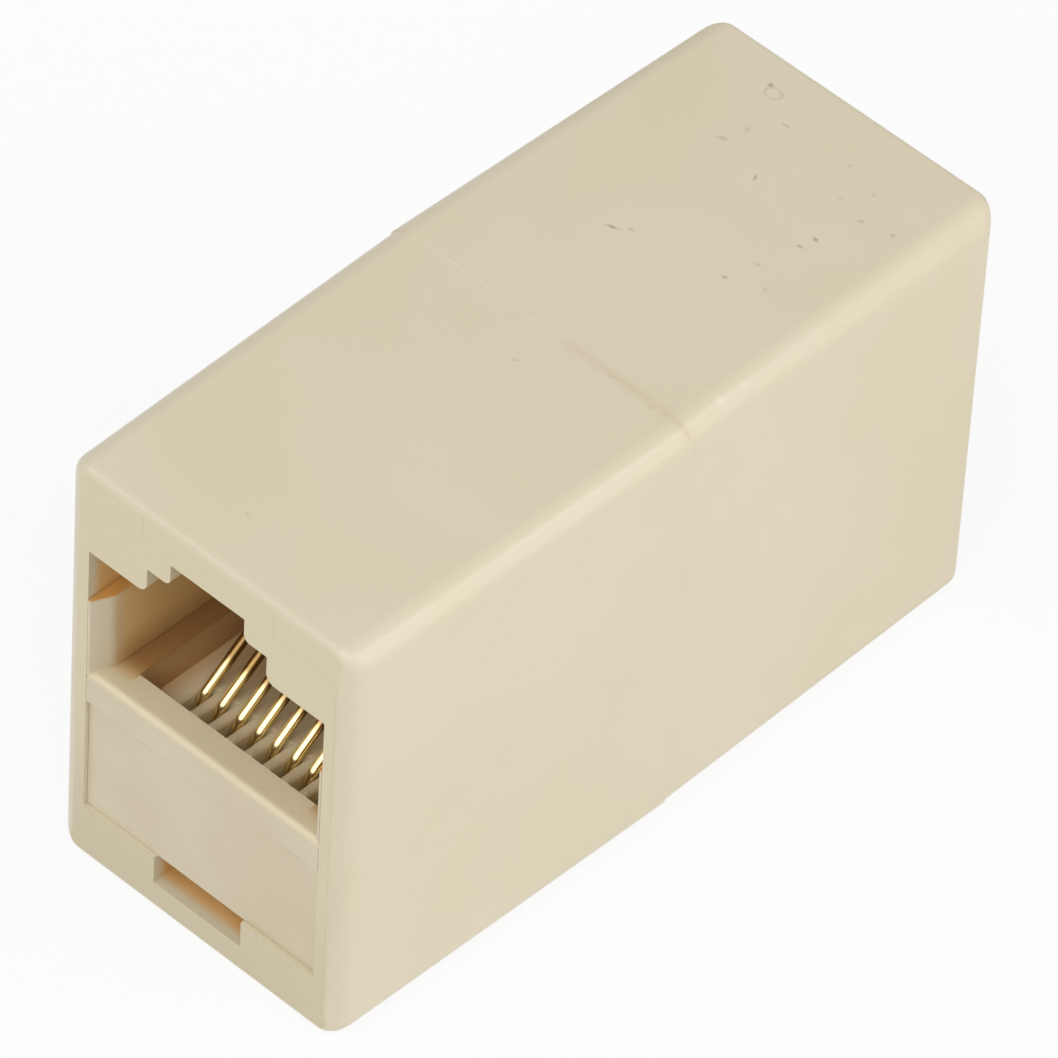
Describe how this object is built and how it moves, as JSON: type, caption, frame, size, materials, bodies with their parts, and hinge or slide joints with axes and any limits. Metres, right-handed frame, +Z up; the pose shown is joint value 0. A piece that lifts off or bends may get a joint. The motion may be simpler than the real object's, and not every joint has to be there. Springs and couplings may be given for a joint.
{
  "type": "rj45 inline coupler",
  "caption": "Small ivory box with a modular data jack at each end, wired straight through inside, that joins two patch cords into one.",
  "frame": {"origin": "middle of the bottom face, halfway between the ports", "axes": "+Y along the length, from the front port to the rear port; +X to the right seen from the front port; +Z up, towards the latch keyways"},
  "size_m": [0.0168, 0.0374, 0.022],
  "materials": {
    "ivory_housing": "satin moulded ABS, ivory",
    "ivory_insert": "satin moulded plastic, ivory",
    "gold_contact": "bright gold plate on round spring wire",
    "tinned_crimp": "tinned brass sleeve",
    "lead_blue": "soft PVC insulation",
    "lead_orange": "soft PVC insulation",
    "lead_black": "soft PVC insulation",
    "lead_red": "soft PVC insulation",
    "lead_green": "soft PVC insulation",
    "lead_yellow": "soft PVC insulation",
    "lead_brown": "soft PVC insulation",
    "lead_grey": "soft PVC insulation"
  },
  "bodies": {
    "root": {"front_housing": "ivory_housing", "front_jack_insert": "ivory_insert", "front_contact_1": "gold_contact", "front_crimp_1": "tinned_crimp", "front_contact_2": "gold_contact", "front_crimp_2": "tinned_crimp", "front_contact_3": "gold_contact", "front_crimp_3": "tinned_crimp", "front_contact_4": "gold_contact", "front_crimp_4": "tinned_crimp", "front_contact_5": "gold_contact", "front_crimp_5": "tinned_crimp", "front_contact_6": "gold_contact", "front_crimp_6": "tinned_crimp", "front_contact_7": "gold_contact", "front_crimp_7": "tinned_crimp", "front_contact_8": "gold_contact", "front_crimp_8": "tinned_crimp", "rear_housing": "ivory_housing", "rear_jack_insert": "ivory_insert", "rear_contact_1": "gold_contact", "rear_crimp_1": "tinned_crimp", "rear_contact_2": "gold_contact", "rear_crimp_2": "tinned_crimp", "rear_contact_3": "gold_contact", "rear_crimp_3": "tinned_crimp", "rear_contact_4": "gold_contact", "rear_crimp_4": "tinned_crimp", "rear_contact_5": "gold_contact", "rear_crimp_5": "tinned_crimp", "rear_contact_6": "gold_contact", "rear_crimp_6": "tinned_crimp", "rear_contact_7": "gold_contact", "rear_crimp_7": "tinned_crimp", "rear_contact_8": "gold_contact", "rear_crimp_8": "tinned_crimp", "lead_1": "lead_blue", "lead_2": "lead_orange", "lead_3": "lead_black", "lead_4": "lead_red", "lead_5": "lead_green", "lead_6": "lead_yellow", "lead_7": "lead_brown", "lead_8": "lead_grey"}
  },
  "joints": []
}
